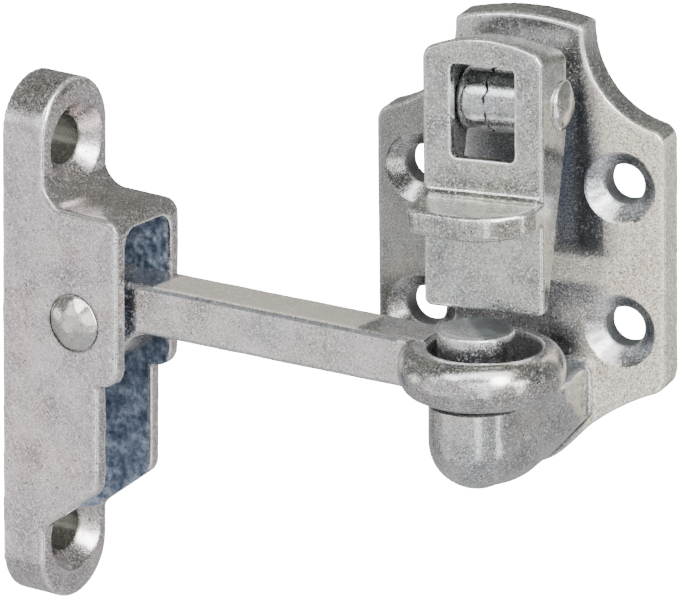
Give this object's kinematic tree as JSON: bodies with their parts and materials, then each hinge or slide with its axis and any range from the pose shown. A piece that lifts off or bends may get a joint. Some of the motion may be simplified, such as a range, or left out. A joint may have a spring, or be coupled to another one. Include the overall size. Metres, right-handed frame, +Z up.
{
  "type": "door holdback hook",
  "caption": "Cast door holdback: a hinged hook arm on a door bracket drops its ring over a peg on a wall keeper, and a gravity latch with a thumb tab holds it down.",
  "frame": {"origin": "middle of the keeper plate's screw pattern, on the plate's back face, which is its wall face", "axes": "+X to the right seen from the front, +Y into the wall, +Z up along the keeper plate"},
  "size_m": [0.1142, 0.0435, 0.1078],
  "materials": {
    "keeper_casting": "bare cast alloy, tumbled, dull with bright edges",
    "latch_casting": "bare cast alloy, tumbled, with a rubbed thumb tab",
    "arm_casting": "bare cast alloy with a polished ring",
    "bracket_casting": "bare cast alloy, finely scratched",
    "rivet_metal": "domed rivet heads, dull bright metal"
  },
  "bodies": {
    "keeper": {"keeper_plate": "keeper_casting"},
    "latch": {"latch_lever": "latch_casting", "latch_pin": "rivet_metal"},
    "arm": {"hook_arm": "arm_casting"},
    "bracket": {"door_bracket": "bracket_casting", "arm_pivot_rivet": "rivet_metal"}
  },
  "joints": [
    {"name": "latch_hinge", "type": "hinge", "parent": "keeper", "child": "latch", "pos_m": [0, -0.0142, 0.0273], "axis": [-1, 0, 0], "range_deg": [0, 42]},
    {"name": "ring_swivel", "type": "hinge", "parent": "keeper", "child": "arm", "pos_m": [0, -0.0263, -0.0141], "axis": [0, 0, 1], "range_deg": [-8, 215]},
    {"name": "fold_hinge", "type": "hinge", "parent": "arm", "child": "bracket", "pos_m": [-0.07205, -0.00887, -0.0171], "axis": [-0.2351, -0.972, 0], "range_deg": [-37, 91.4]}
  ]
}
